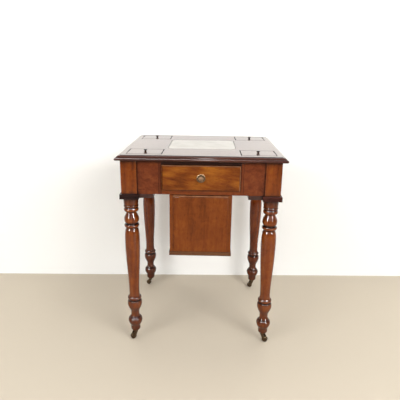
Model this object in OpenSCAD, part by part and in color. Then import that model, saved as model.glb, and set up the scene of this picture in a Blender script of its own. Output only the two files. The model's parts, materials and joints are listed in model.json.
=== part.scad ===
// Square tea table in mahogany: a moulded top with a pale centre slab and four
// lidded corner compartments, a frieze drawer, a hanging well that slides out
// under the frieze, and four turned legs on swivel casters.
// The origin is on the floor under the middle of the top; the front faces -Y.

/* [Stance] */
// Height of the top surface above the floor
table_h = 734; // [690:1:790]
// Leg centre to leg centre across the front
leg_span_x = 496; // [480:1:560]
// Leg centre to leg centre from front to back
leg_span_y = 426; // [400:1:480]

/* [Top] */
// Thickness of the top panel
top_t = 18; // [17:0.5:24]
// Distance the moulded edge stands out from the panel
edge_run = 16.5; // [14:0.5:22]
// Radius of the rounded nose along the foot of the moulded edge
edge_nose_r = 5; // [3.5:0.1:5.4]
// Height of the plain step above the moulding
edge_quirk = 1.5; // [1:0.1:3]
// Width of the flat between the step and the ovolo
edge_flat = 1; // [0.5:0.1:2]
// Width of the flat between the ovolo and the nose
edge_shoulder = 1.5; // [0.5:0.1:2.5]
// Width of the pale centre slab
inset_w = 250; // [200:1:256]
// Depth of the pale centre slab
inset_d = 214; // [180:1:260]
// Thickness of the centre slab
inset_t = 8; // [5:0.5:10]
// Length cut off each corner of the centre slab
inset_clip = 16; // [8:1:45]
// Gap round the centre slab
inset_gap = 1.1; // [0.4:0.1:1.5]

/* [Corner lids] */
// Width of a corner lid
lid_w = 119; // [114:0.5:124]
// Depth of a corner lid
lid_d = 91.2; // [82:0.1:96]
// Depth of the rebate that holds a corner lid
lid_t = 9; // [6:0.5:11]
// Distance a corner lid stands above the top surface
lid_proud = 0; // [0:0.1:1.5]
// Gap round a corner lid
lid_gap = 2.4; // [0.8:0.1:3]
// Panel left between a lid and the side edge
lid_margin_x = 15.5; // [13:0.5:20]
// Panel left between a lid and the front or back edge
lid_margin_y = 22.5; // [20:0.5:28]
// Width of the ledge under the inner edge of a lid
lid_ledge = 6; // [4:0.5:10]
// Diameter of a lid knob
lid_knob_d = 12.5; // [9:0.5:16]
// Height of a lid knob
lid_knob_h = 8.5; // [7:0.5:14]
// Diameter of a lid knob's peg
lid_peg_d = 5; // [4:0.5:6]

/* [Frieze] */
// Height of the frieze
frieze_h = 120; // [112:1:140]
// Thickness of the frieze boards
frieze_t = 20; // [16:0.5:24]
// Width of the square block at the head of each leg
block_w = 55; // [54.8:0.1:62]
// Distance the leg blocks stand proud of the frieze
block_proud = 6; // [3:0.5:9]
// Height of the square collar round each block
collar_h = 18; // [10:0.5:20]
// Distance the collar stands out from its block
collar_lip = 6; // [5:0.5:11]
// Radius of the rounded lower edge of the collar
collar_round = 1.5; // [1:0.5:5]
// Width of the rail planted under each side of the frieze, from its outer edge
under_rail_w = 103.5; // [90:0.5:120]
// Thickness of the under rails
under_rail_t = 15.5; // [10:0.5:20]
// Distance the ends of that rail are set back from the frieze
under_rail_setback = 2; // [0.5:0.5:6]

/* [Compartments] */
// Thickness of the boards beside the drawer, whose front edges show
partition_t = 10; // [8:0.5:12]
// Depth of a corner compartment
compartment_depth = 70; // [50:1:90]
// Thickness of a compartment floor
compartment_floor_t = 8; // [6:0.5:10]
// Thickness of the board that closes a compartment
divider_t = 10; // [8:0.5:12]

/* [Drawer] */
// Width of the drawer front
drawer_w = 270; // [262:1:276]
// Height of the drawer front
drawer_h = 89.5; // [80:0.5:92]
// Thickness of the drawer front
drawer_front_t = 18; // [16:0.5:20]
// Length of the drawer from front to back
drawer_len = 430; // [360:1:440]
// Distance the drawer stands open, with its front proud of the frieze
drawer_ajar = 3.5; // [0:0.5:3.5]
// Gap round the drawer front
drawer_gap = 1.3; // [1:0.1:2]
// Height of the rail under the drawer
rail_low_h = 13.3; // [12:0.1:18]
// Width of the rails above and below the drawer, front to back
rail_d = 55; // [40:1:70]
// Thickness of the drawer sides and back
drawer_side_t = 10; // [8:0.5:12]
// Distance the drawer sides stop below the top of the front
drawer_side_drop = 6; // [4:0.5:12]
// Thickness of the drawer bottom
drawer_bottom_t = 6; // [4:0.5:8]
// Height of the drawer bottom above the lower edge of the sides
drawer_bottom_rise = 6; // [4:0.5:10]
// Depth of the grooves that hold the drawer bottom
drawer_groove = 5; // [3:0.5:6]
// Width of the runners and kickers beside the drawer
runner_w = 12; // [10:0.5:14]
// Clearance between the drawer sides and what they run on
runner_gap = 0.3; // [0.2:0.1:0.8]
// Thickness of the bead round the drawer front
bead_t = 3; // [2:0.5:4]
// Depth of the bead into the drawer front
bead_depth = 4.5; // [3:0.5:5]
// Distance the bead stands proud of the drawer front
bead_proud = 2.2; // [1.5:0.1:4]
// Diameter of the drawer knob
knob_d = 22; // [20:0.5:28]
// Diameter of the plate behind the drawer knob
knob_plate_d = 30; // [28:0.5:40]
// Distance from the drawer front to the face of the knob
knob_reach = 16; // [14.5:0.5:16]
// Diameter of the drawer knob's spindle
knob_spindle_d = 5; // [4:0.5:6]

/* [Dovetails] */
// Number of dovetails at each corner of the drawer
tail_count = 4; // [3:1:5]
// Share of the pitch taken by a dovetail at its root
tail_share = 0.56; // [0.45:0.01:0.65]
// Slope of a dovetail's flanks, run per unit of length
tail_slope = 0.16; // [0.1:0.01:0.2]
// Wood left in front of the dovetails of the drawer front
tail_lap = 6; // [5.5:0.5:8]

/* [Hanging well] */
// Outer width of the well
well_w = 219; // [200:1:236]
// Length of the well from front to back
well_len = 372; // [320:1:400]
// Height of the well from its underside to the top of its sides
well_h = 227.5; // [180:0.5:260]
// Thickness of the well's sides
well_side_t = 14; // [13:0.5:16]
// Thickness of the well's front and back
well_front_t = 14; // [10:0.5:16]
// Thickness of the well's bottom board
well_bottom_t = 14.5; // [10:0.5:18]
// Distance the bottom board stands out past the sides and front
well_bottom_lip = 2.5; // [1:0.5:5]
// Gap between the frieze and the sides of the well
well_top_gap = 1.5; // [1:0.1:3]
// Distance the front of the well stops below its sides
well_front_drop = 2.5; // [2:0.5:5]
// Height of the bead cut along the top of the well's front
well_bead_h = 4.5; // [3:0.5:6]
// Height of the groove under that bead
well_quirk_h = 1.4; // [1:0.1:2]
// Depth of the groove under that bead
well_quirk_d = 1.6; // [1:0.1:2.5]
// Distance the front of the well is set back from the frieze
well_setback = 1; // [0.5:0.5:6]
// Height of the runner's tongue
tongue_h = 5.2; // [4:0.1:6]
// Distance the tongue reaches into the side of the well
tongue_reach = 5.5; // [4:0.1:6]
// Running clearance of the tongue in its groove
tongue_gap = 0.4; // [0.3:0.1:0.6]
// Wood left above the groove in the side of the well
groove_cover = 6.5; // [5:0.5:8]
// Width of the upright part of a well runner
well_runner_w = 11; // [9:0.5:14]

/* [Leg turning] */
// Radius of the drum under the collar
drum_r = 27.2; // [26:0.1:27.2]
// Height of the drum under the collar
drum_h = 34; // [28:0.5:42]
// Radius of the upper bead
upper_bead_r = 26.4; // [24.5:0.1:27.2]
// Height of the upper bead
bead_h = 15.8; // [13:0.1:17]
// Height of the thin bead at the foot of the drum
astragal_h = 7; // [5:0.5:9]
// Radius of the neck between the upper bead and the egg
neck_r = 18.1; // [15:0.1:20]
// Greatest radius of the egg
egg_r = 26.6; // [24:0.1:27.2]
// Height of the egg
egg_h = 38.5; // [34:0.5:44]
// Radius of the lower bead
lower_bead_r = 26.8; // [24.5:0.1:27.2]
// Height of the lower bead
lower_bead_h = 13.8; // [12:0.1:16]
// Height of the groove between the egg and the lower bead
egg_groove_h = 4.5; // [2.5:0.1:6]
// Radius of the notch above the swelling
notch_r = 20.8; // [18:0.1:22]
// Greatest radius of the long swelling
swell_r = 27; // [24:0.1:27.2]
// Distance from the notch down to the widest part of the swelling
swell_drop = 51; // [40:1:60]
// Radius at the waist below the swelling
waist_r = 18.9; // [16:0.1:21]
// Radius of the ring below the waist
ring_r = 25.8; // [24:0.1:27.2]
// Height of the ring
ring_h = 10.5; // [8:0.5:12]
// Greatest radius of the vase
vase_r = 27.4; // [25:0.1:29]
// Height of the vase from its ankle to the groove above it
vase_h = 56; // [50:0.5:62]
// Radius of the ankle between the vase and the cup
ankle_r = 15.8; // [13:0.1:17]
// Greatest radius of the cup
cup_r = 26.9; // [24:0.1:29]
// Height of the cup from the foot cylinder to its edge
cup_h = 25; // [20:0.5:30]
// Height from the edge of the cup to the ankle
cone_h = 31.5; // [26:0.5:36]
// Radius at the top of the foot cylinder
foot_r = 18.6; // [18:0.1:20]
// Height of the foot cylinder
foot_h = 17; // [14:0.5:24]

/* [Casters] */
// Height of the wooden foot above the floor
caster_h = 40; // [39:0.5:50]
// Diameter of a caster wheel
wheel_d = 22; // [20:0.5:24]
// Width of a caster wheel
wheel_w = 12; // [9:0.5:15]
// Distance the wheel trails behind the swivel
trail = 11; // [8:0.5:14]
// Diameter of the wheel's axle
axle_d = 5; // [4:0.1:6]
// Diameter of the swivel stem
stem_d = 8; // [7:0.1:9]
// Length of the swivel stem above the crown
stem_len = 26; // [18:0.5:32]
// Diameter of the brass sleeve in the foot
sleeve_d = 12; // [11:0.1:13]
// Diameter of the brass plate under the foot
plate_d = 28; // [28:0.5:30]
// Thickness of the brass plate under the foot
plate_t = 2.5; // [2:0.1:4]
// Radial clearance of the stem and of the axle
shaft_gap = 0.05; // [0.02:0.01:0.09]
// Thickness of the two arms of a caster
arm_t = 2.5; // [2:0.1:3.5]
// Direction in which each caster trails, in degrees from +X
trail_angle = [215, 325, 160, 200]; // [0:1:359]

/* [Hidden] */
$fn = 64;

// Plan: faces of the leg blocks, the frieze and the top panel
leg_x = leg_span_x / 2;
leg_y = leg_span_y / 2;
panel_x = leg_x + block_w / 2;
panel_y = leg_y + block_w / 2;
block_in_x = leg_x - block_w / 2;
block_in_y = leg_y - block_w / 2;
frieze_x = panel_x - block_proud;
frieze_y = panel_y - block_proud;
frieze_in_x = frieze_x - frieze_t;
frieze_in_y = frieze_y - frieze_t;

// Heights: underside of the top, foot of the frieze, foot of the leg blocks
under_top = table_h - top_t;
frieze_z = under_top - frieze_h;
block_z = frieze_z - collar_h;

// Drawer opening and the boards that guide the drawer
drawer_y = -frieze_y - drawer_ajar;
open_x = drawer_w / 2 + drawer_gap;
open_z0 = frieze_z + rail_low_h;
open_z1 = open_z0 + drawer_h + 2 * drawer_gap;
drawer_z = open_z0 + drawer_gap;
side_top = drawer_z + drawer_h - drawer_side_drop;
partition_out = open_x + partition_t;
rail_back = -frieze_y + rail_d;
runner_in = open_x - runner_w;

// Drawer box
front_back = drawer_y + drawer_front_t;
drawer_end = drawer_y + drawer_len;
drawer_in_x = drawer_w / 2 - drawer_side_t;
bottom_z = drawer_z + drawer_bottom_rise;
bottom_top = bottom_z + drawer_bottom_t;
tail_len_front = drawer_front_t - tail_lap;

// Corner lids and compartments, given in the back right corner
lid_x1 = panel_x - lid_margin_x;
lid_x0 = lid_x1 - lid_w - 2 * lid_gap;
lid_y1 = panel_y - lid_margin_y;
lid_y0 = lid_y1 - lid_d - 2 * lid_gap;
lid_cx = (lid_x0 + lid_x1) / 2;
lid_cy = (lid_y0 + lid_y1) / 2;
compartment_y0 = lid_y0 + lid_ledge;
floor_top = under_top - compartment_depth;
floor_z = floor_top - compartment_floor_t;

// Hanging well
well_top = frieze_z - well_top_gap;
well_z = well_top - well_h;
well_floor = well_z + well_bottom_t;
well_y0 = -frieze_y + well_setback;
well_y1 = well_y0 + well_len;
well_in_x = well_w / 2 - well_side_t;
groove_z1 = well_top - groove_cover;
groove_z0 = groove_z1 - tongue_h - 2 * tongue_gap;
runner_face = well_in_x - 2 * tongue_gap;
runner_y0 = well_y0 + well_front_t + 2 * tongue_gap;

// Casters
wheel_r = wheel_d / 2;
plate_z = caster_h - plate_t;
crown_gap = 0.4;
crown_t = 3.5;
crown_r = 9.5;
crown_top = plate_z - crown_gap;
arm_gap = 0.8;
screw_ring_r = 10.8;
screw_r = 1.4;
screw_head_r = 2.4;
screw_head_h = 1.2;
screw_len = 12;

mahogany = [0.42, 0.17, 0.08];
mahogany_dark = [0.2, 0.09, 0.06];
mahogany_gold = [0.52, 0.28, 0.12];
oak = [0.6, 0.44, 0.27];
brass = [0.5, 0.42, 0.28];
cream = [0.88, 0.86, 0.8];
ebony = [0.12, 0.08, 0.06];

// A box between two corners, given as ranges along X, Y and Z
module slab(x, y, z) {
    translate([x[0], y[0], z[0]])
        cube([x[1] - x[0], y[1] - y[0], z[1] - z[0]]);
}

// Puts what is drawn in the back right corner into another corner
module at_corner(sx, sy) {
    mirror([sx < 0 ? 1 : 0, 0, 0])
        mirror([0, sy < 0 ? 1 : 0, 0])
            children();
}

// Draws something in all four corners
module at_corners() {
    for (sx = [-1, 1], sy = [-1, 1])
        at_corner(sx, sy) children();
}

// Draws something on the right and its mirror image on the left
module at_sides() {
    for (sx = [-1, 1])
        at_corner(sx, 1) children();
}

// Points along a cubic curve from a to d
function curve(a, b, c, d, n = 8) = [
    for (i = [0:n])
        let (t = i / n, u = 1 - t)
            u * u * u * a + 3 * u * u * t * b + 3 * u * t * t * c + t * t * t * d
];

// Points round a half-round bead of height h that starts at z
function half_round(z, h, r_root, r_peak) = [
    for (a = [-90:18:90])
        [r_root + (r_peak - r_root) * cos(a), z + h / 2 + h / 2 * sin(a)]
];

// Points round a bead that is widest above its middle and thins out below
function thumb(z, h, r_root, r_peak) = concat(
    curve([r_root, z], [r_root + 2.2, z + 0.4], [r_peak - 0.6, z + 0.34 * h], [r_peak, z + 0.58 * h], 6),
    curve([r_peak, z + 0.62 * h], [r_peak, z + 0.84 * h], [r_root + 2.6, z + h], [r_root, z + h], 6)
);

// Outline of the centre slab, grown by g on every side
module inset_outline(g) {
    x = inset_w / 2 + g;
    y = inset_d / 2 + g;
    c = inset_clip + g * (2 - sqrt(2));
    polygon([
        [x, y - c], [x - c, y], [c - x, y], [-x, y - c],
        [-x, c - y], [c - x, -y], [x - c, -y], [x, c - y]
    ]);
}

module top_panel() {
    color(mahogany)
        difference() {
            slab([-panel_x, panel_x], [-panel_y, panel_y], [under_top, table_h]);
            translate([0, 0, table_h - inset_t])
                linear_extrude(inset_t + 1)
                    inset_outline(inset_gap);
            at_corners() {
                slab([lid_x0, lid_x1], [lid_y0, lid_y1], [table_h - lid_t, table_h + 1]);
                slab([partition_out, frieze_in_x], [compartment_y0, frieze_in_y],
                    [under_top - 1, table_h]);
            }
        }
}

module centre_inset() {
    color(cream)
        translate([0, 0, table_h - inset_t])
            linear_extrude(inset_t)
                inset_outline(0);
}

// Section of the moulded edge: a rounded nose below an ovolo and a step
module edge_section() {
    nose_top = 2 * edge_nose_r;
    ovolo_top = top_t - edge_quirk;
    ovolo_x = edge_run - edge_nose_r - edge_shoulder;
    square([edge_run - edge_nose_r, nose_top]);
    translate([edge_run - edge_nose_r, edge_nose_r])
        circle(edge_nose_r);
    polygon(concat(
        [[0, ovolo_top], [0, edge_nose_r], [ovolo_x, edge_nose_r]],
        curve([ovolo_x, nose_top], [ovolo_x, nose_top + 0.55 * (ovolo_top - nose_top)],
            [edge_flat + 0.45 * (ovolo_x - edge_flat), ovolo_top], [edge_flat, ovolo_top])
    ));
}

// One mitred strip of the edge against a panel side of half length half_len,
// drawn along X with the panel on its +Y side
module edge_strip(half_len) {
    far = half_len + edge_run;
    color(mahogany)
        intersection() {
            translate([-far, 0, under_top])
                rotate([90, 0, 90])
                    linear_extrude(2 * far)
                        mirror([1, 0])
                            edge_section();
            translate([0, 0, under_top])
                linear_extrude(top_t)
                    polygon([
                        [-half_len, 0], [-far, -edge_run],
                        [far, -edge_run], [half_len, 0]
                    ]);
        }
}

module edge_moulding_front() {
    translate([0, -panel_y, 0]) edge_strip(panel_x);
}

module edge_moulding_back() {
    rotate([0, 0, 180]) edge_moulding_front();
}

module edge_moulding_right() {
    translate([panel_x, 0, 0]) rotate([0, 0, 90]) edge_strip(panel_y);
}

module edge_moulding_left() {
    rotate([0, 0, 180]) edge_moulding_right();
}

module lid(sx, sy) {
    color(mahogany)
        at_corner(sx, sy)
            difference() {
                slab([lid_x0 + lid_gap, lid_x1 - lid_gap], [lid_y0 + lid_gap, lid_y1 - lid_gap],
                    [table_h - lid_t, table_h + lid_proud]);
                translate([lid_cx, lid_cy, table_h - lid_t - 1])
                    cylinder(d = lid_peg_d, h = lid_t + lid_proud + 2);
            }
}

module lid_knob(sx, sy) {
    r = lid_knob_d / 2;
    peg_end = 1 - lid_t - lid_proud;
    color(ebony)
        translate([sx * lid_cx, sy * lid_cy, table_h + lid_proud])
            rotate_extrude()
                polygon(concat(
                    [[0, peg_end], [lid_peg_d / 2, peg_end], [lid_peg_d / 2, 0]],
                    [[r * 0.8, 0], [r * 0.8, 0.8]],
                    curve([r * 0.7, 1], [r * 0.42, 1.6], [r * 0.42, lid_knob_h * 0.34],
                        [r * 0.56, lid_knob_h * 0.46]),
                    curve([r * 0.94, lid_knob_h * 0.5], [r * 1.08, lid_knob_h * 0.74],
                        [r * 0.76, lid_knob_h], [0, lid_knob_h])
                ));
}

module front_panel(sx) {
    color(mahogany)
        at_corner(sx, -1)
            slab([partition_out, block_in_x], [frieze_in_y, frieze_y], [frieze_z, under_top]);
}

module drawer_rail_bottom() {
    color(mahogany)
        slab([-open_x, open_x], [-frieze_y, rail_back], [frieze_z, open_z0]);
}

module drawer_rail_top() {
    color(mahogany)
        slab([-open_x, open_x], [-frieze_y, rail_back], [open_z1, under_top]);
}

module frieze_back() {
    color(mahogany)
        slab([-block_in_x, block_in_x], [frieze_in_y, frieze_y], [frieze_z, under_top]);
}

module frieze_side(sx) {
    color(mahogany)
        at_corner(sx, 1)
            slab([frieze_in_x, frieze_x], [-block_in_y, block_in_y], [frieze_z, under_top]);
}

// Half outline of the turned leg from the foot up to the block, as [r, z]
function leg_outline() =
    let (
        cup_z = caster_h + foot_h,
        cup_edge = cup_z + cup_h,
        ankle_z = cup_edge + cone_h,
        vase_top = ankle_z + vase_h,
        ring_z = vase_top + 5,
        waist_z = ring_z + ring_h + 20,
        drum_z = block_z - drum_h,
        bead1_z = drum_z - bead_h - 2,
        egg_top = bead1_z - 4,
        egg_z = egg_top - egg_h,
        bead2_z = egg_z - egg_groove_h - lower_bead_h,
        notch_z = bead2_z - 3,
        swell_z = notch_z - swell_drop
    )
    concat(
        [[0, caster_h]],
        curve([foot_r - 4.2, caster_h], [foot_r - 2, caster_h + 0.2], [foot_r - 0.6, caster_h + 2],
            [foot_r - 0.5, caster_h + 5], 5),
        curve([foot_r, cup_z], [foot_r + 0.4, cup_z + 7], [cup_r - 0.4, cup_z + 13],
            [cup_r, cup_edge]),
        curve([cup_r, cup_edge + 1], [cup_r, cup_edge + 7], [cup_r - 2.6, cup_edge + 11.5],
            [cup_r - 6.6, cup_edge + 14], 7),
        [[cup_r - 8.2, cup_edge + 14.6], [cup_r - 8.2, cup_edge + 16]],
        curve([cup_r - 7.2, cup_edge + 16.8], [cup_r - 8.6, cup_edge + 19],
            [ankle_r, cup_edge + 21], [ankle_r, ankle_z - 3], 8),
        curve([ankle_r, ankle_z + 4], [ankle_r + 1.2, ankle_z + 17],
            [vase_r - 0.6, ankle_z + 25], [vase_r, vase_top - 14], 10),
        curve([vase_r, vase_top - 13.5], [vase_r, vase_top - 6],
            [vase_r - 1, vase_top - 1], [vase_r - 3.8, vase_top], 8),
        [[vase_r - 6, vase_top + 0.8], [vase_r - 6, ring_z - 0.2]],
        half_round(ring_z, ring_h, ring_r - 3.2, ring_r),
        curve([ring_r - 3.4, ring_z + ring_h + 0.3], [waist_r + 1, ring_z + ring_h + 4],
            [waist_r, ring_z + ring_h + 10], [waist_r, waist_z]),
        curve([waist_r, waist_z + 1], [waist_r, waist_z + 62], [swell_r, swell_z - 84],
            [swell_r, swell_z], 14),
        curve([swell_r, swell_z + 1], [swell_r, swell_z + 22], [swell_r - 0.8, notch_z - 7],
            [notch_r, notch_z], 8),
        [[notch_r, notch_z + 6]],
        thumb(bead2_z, lower_bead_h, lower_bead_r - 5, lower_bead_r),
        [[egg_r - 6.6, bead2_z + lower_bead_h + 0.4], [egg_r - 6.6, egg_z - 0.6]],
        curve([egg_r - 4.4, egg_z], [egg_r - 1.2, egg_z + 2.5], [egg_r, egg_z + 7],
            [egg_r, egg_z + 13], 6),
        curve([egg_r, egg_z + 14], [egg_r + 0.2, egg_z + 24], [neck_r + 2.4, egg_top - 9.5],
            [neck_r, egg_top], 9),
        [[neck_r + 0.4, bead1_z - 0.4]],
        half_round(bead1_z, bead_h, upper_bead_r - 5, upper_bead_r),
        [[drum_r - 4.6, bead1_z + bead_h + 0.2], [drum_r - 4.6, drum_z - 0.2]],
        half_round(drum_z, astragal_h, drum_r - 2.6, drum_r - 0.8),
        [[drum_r - 3, drum_z + astragal_h + 0.2], [drum_r - 3, drum_z + astragal_h + 1.4]],
        curve([drum_r - 1.6, drum_z + astragal_h + 1.6], [drum_r - 0.9, drum_z + 15],
            [drum_r - 1.2, block_z - 16], [drum_r, block_z]),
        [[0, block_z]]
    );

module leg(sx, sy) {
    color(mahogany)
        at_corner(sx, sy)
            difference() {
                union() {
                    translate([leg_x, leg_y, 0])
                        rotate_extrude()
                            polygon(leg_outline());
                    slab([block_in_x, panel_x], [block_in_y, panel_y], [block_z, under_top]);
                }
                // The inner corner is cut away over the compartment floor
                slab([block_in_x - 1, frieze_in_x], [block_in_y - 1, frieze_in_y],
                    [floor_z, under_top + 1]);
                translate([leg_x, leg_y, caster_h - 1])
                    cylinder(d = sleeve_d, h = stem_len + 3);
                translate([leg_x, leg_y, caster_h - 1])
                    screw_circle()
                        cylinder(r = screw_r, h = screw_len + 1);
            }
}

module collar(sx, sy) {
    half = block_w / 2 + collar_lip;
    side = 2 * half;
    color(mahogany_dark)
        at_corner(sx, sy)
            translate([leg_x, leg_y, block_z])
                difference() {
                    translate([-half, -half, 0])
                        cube([side, side, collar_h]);
                    translate([-block_w / 2, -block_w / 2, -1])
                        cube([block_w, block_w, collar_h + 2]);
                    // Quarter round along the lower edge of each side
                    for (a = [0:90:270])
                        rotate([0, 0, a])
                            translate([0, half + 1, 0])
                                rotate([0, 90, 0])
                                    linear_extrude(side + 2, center = true)
                                        difference() {
                                            translate([-collar_round, -1 - collar_round])
                                                square([collar_round + 1, collar_round + 2]);
                                            translate([-collar_round, -1 - collar_round])
                                                circle(collar_round);
                                        }
                }
}

module partition(sx) {
    color(mahogany)
        at_corner(sx, 1)
            slab([open_x, partition_out], [-frieze_y, frieze_in_y], [frieze_z, under_top]);
}

module drawer_runners() {
    color(oak)
        at_sides()
            slab([runner_in, open_x], [rail_back, frieze_in_y],
                [frieze_z, drawer_z - runner_gap]);
}

module drawer_kickers() {
    color(oak)
        at_sides()
            slab([runner_in, open_x], [rail_back, frieze_in_y],
                [side_top + runner_gap, under_top]);
}

module compartment_floors() {
    color(oak)
        at_sides()
            slab([partition_out, frieze_in_x], [-frieze_in_y, frieze_in_y],
                [floor_z, floor_top]);
}

module compartment_dividers() {
    color(oak)
        at_corners()
            slab([partition_out, frieze_in_x], [compartment_y0 - divider_t, compartment_y0],
                [floor_top, under_top]);
}

// A flat rail under each side of the frieze, cut out round the collars
module under_rails() {
    collar_in = block_w / 2 + collar_lip;
    end_y = frieze_y - under_rail_setback;
    color(mahogany_dark)
        difference() {
            at_sides()
                slab([frieze_x - under_rail_w, frieze_x], [-end_y, end_y],
                    [frieze_z - under_rail_t, frieze_z]);
            at_corners()
                slab([leg_x - collar_in, panel_x + collar_in], [leg_y - collar_in, panel_y + collar_in],
                    [block_z - 10, frieze_z + 1]);
        }
}

// A row of dovetails in the YZ plane, from height z0 to z1, pointing to +Y
// from y = 0, drawn as an outline that is extruded through the board
module tails(z0, z1, len) {
    pitch = (z1 - z0) / tail_count;
    root = pitch * tail_share / 2;
    tip = root + len * tail_slope;
    for (i = [0:tail_count - 1])
        translate([0, z0 + (i + 0.5) * pitch])
            polygon([[-0.01, -root], [len, -tip], [len, tip], [-0.01, root]]);
}

// Extrudes an outline drawn in Y and Z along X, from x0 to x1
module across(x0, x1) {
    translate([x0, 0, 0])
        rotate([90, 0, 90])
            linear_extrude(x1 - x0)
                children();
}

module front_tails() {
    translate([front_back, 0])
        mirror([1, 0])
            tails(drawer_z, side_top, tail_len_front);
}

module back_tails() {
    translate([drawer_end - drawer_side_t, 0])
        tails(bottom_top, side_top, drawer_side_t);
}

module drawer_front() {
    color(mahogany_gold)
        difference() {
            slab([-drawer_w / 2, drawer_w / 2], [drawer_y, front_back],
                [drawer_z, drawer_z + drawer_h]);
            difference() {
                slab([-drawer_w / 2 - 1, drawer_w / 2 + 1],
                    [drawer_y - 1, drawer_y + bead_depth],
                    [drawer_z - 1, drawer_z + drawer_h + 1]);
                slab([bead_t - drawer_w / 2, drawer_w / 2 - bead_t],
                    [drawer_y - 2, drawer_y + bead_depth + 1],
                    [drawer_z + bead_t, drawer_z + drawer_h - bead_t]);
            }
            at_sides()
                across(drawer_in_x, drawer_w / 2 + 1) front_tails();
            slab([-drawer_in_x - drawer_groove, drawer_in_x + drawer_groove],
                [front_back - drawer_groove, front_back + 1], [bottom_z, bottom_top]);
            translate([0, drawer_y - 1, drawer_z + drawer_h / 2])
                rotate([-90, 0, 0])
                    cylinder(d = knob_spindle_d, h = drawer_front_t + 2);
        }
}

module drawer_side(sx) {
    color(oak)
        at_corner(sx, 1)
            difference() {
                across(drawer_in_x, drawer_w / 2) {
                    difference() {
                        translate([front_back, drawer_z])
                            square([drawer_end - front_back, side_top - drawer_z]);
                        translate([drawer_end - drawer_side_t, bottom_top])
                            square([drawer_side_t + 1, side_top - bottom_top + 1]);
                    }
                    front_tails();
                    back_tails();
                }
                slab([drawer_in_x - 1, drawer_in_x + drawer_groove],
                    [front_back - drawer_front_t, drawer_end + 1], [bottom_z, bottom_top]);
            }
}

module drawer_back() {
    color(oak)
        difference() {
            slab([-drawer_w / 2, drawer_w / 2], [drawer_end - drawer_side_t, drawer_end],
                [bottom_top, side_top]);
            at_sides()
                across(drawer_in_x, drawer_w / 2 + 1) back_tails();
        }
}

module drawer_bottom() {
    color(oak)
        slab([-drawer_in_x - drawer_groove, drawer_in_x + drawer_groove],
            [front_back - drawer_groove, drawer_end], [bottom_z, bottom_top]);
}

// One mitred strip of the drawer bead along X, with its outer edge at z = 0
module bead_strip(half_len) {
    nose = bead_t / 2;
    intersection() {
        translate([-half_len, 0, 0])
            rotate([90, 0, 90])
                linear_extrude(2 * half_len) {
                    translate([nose - bead_proud, 0])
                        square([bead_depth + bead_proud - nose, bead_t]);
                    translate([nose - bead_proud, nose])
                        circle(nose);
                }
        translate([0, bead_depth, 0])
            rotate([90, 0, 0])
                linear_extrude(bead_depth + bead_proud)
                    polygon([
                        [-half_len, 0], [half_len, 0],
                        [half_len - bead_t, bead_t], [bead_t - half_len, bead_t]
                    ]);
    }
}

module drawer_bead() {
    color(mahogany_gold)
        translate([0, drawer_y, drawer_z + drawer_h / 2])
            for (a = [0, 180]) {
                rotate([0, a, 0])
                    translate([0, 0, -drawer_h / 2])
                        bead_strip(drawer_w / 2);
                rotate([0, a + 90, 0])
                    translate([0, 0, -drawer_w / 2])
                        bead_strip(drawer_h / 2);
            }
}

// Puts something on the drawer front with its own +Z pointing out of the front
module on_drawer_front() {
    translate([0, drawer_y, drawer_z + drawer_h / 2])
        rotate([90, 0, 0])
            children();
}

module drawer_knob_plate() {
    r = knob_plate_d / 2;
    color(brass)
        on_drawer_front()
            difference() {
                rotate_extrude()
                    polygon(concat(
                        [[0, 0], [r, 0]],
                        curve([r, 0.8], [r - 1, 2], [r - 3, 1.2], [r - 4.5, 1.4]),
                        [[0, 1.8]]
                    ));
                translate([0, 0, -1])
                    cylinder(d = knob_spindle_d, h = 4);
            }
}

module drawer_knob() {
    r = knob_d / 2;
    color(brass)
        on_drawer_front()
            rotate_extrude()
                polygon(concat(
                    [[0, 1 - drawer_front_t], [knob_spindle_d / 2, 1 - drawer_front_t],
                        [knob_spindle_d / 2, 1.8]],
                    curve([7, 1.8], [5, 3], [4.8, 4], [5, knob_reach - 9.5]),
                    curve([r - 3, knob_reach - 8], [r, knob_reach - 7], [r, knob_reach - 4],
                        [r - 1.6, knob_reach - 2]),
                    [[r - 2.6, knob_reach - 1.6]],
                    curve([r - 3.2, knob_reach - 1.8], [r - 5, knob_reach - 0.4],
                        [4, knob_reach], [0, knob_reach])
                ));
}

// The front of the well, with a bead along its top edge set off by a groove
module well_front() {
    board_top = well_top - well_front_drop;
    quirk_top = board_top - well_bead_h;
    color(mahogany_gold)
        difference() {
            slab([-well_in_x, well_in_x], [well_y0, well_y0 + well_front_t],
                [well_floor, board_top]);
            slab([-well_in_x - 1, well_in_x + 1], [well_y0 - 1, well_y0 + well_quirk_d],
                [quirk_top - well_quirk_h, quirk_top]);
        }
}

module well_back() {
    color(mahogany)
        slab([-well_in_x, well_in_x], [well_y1 - well_front_t, well_y1],
            [well_floor, groove_z0 - 4]);
}

module well_side(sx) {
    color(mahogany)
        at_corner(sx, 1)
            difference() {
                slab([well_in_x, well_w / 2], [well_y0, well_y1], [well_floor, well_top]);
                slab([well_in_x - 1, well_in_x + tongue_reach + tongue_gap],
                    [well_y0 + well_front_t, well_y1 + 1], [groove_z0, groove_z1]);
            }
}

module well_bottom() {
    x = well_w / 2 + well_bottom_lip;
    color(mahogany)
        slab([-x, x], [well_y0 - well_bottom_lip, well_y1], [well_z, well_floor]);
}

// Two battens under the frieze whose tongues carry the sides of the well
module well_runners() {
    color(oak)
        at_sides() {
            slab([runner_face - well_runner_w, runner_face], [runner_y0, frieze_y],
                [groove_z0 - 2, frieze_z]);
            slab([runner_face - 1, well_in_x + tongue_reach], [runner_y0, frieze_y],
                [groove_z0 + tongue_gap, groove_z1 - tongue_gap]);
        }
}

// Three places round the swivel for the screws of a caster plate
module screw_circle() {
    for (a = [90, 210, 330])
        rotate([0, 0, a])
            translate([screw_ring_r, 0, 0])
                children();
}

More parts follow.
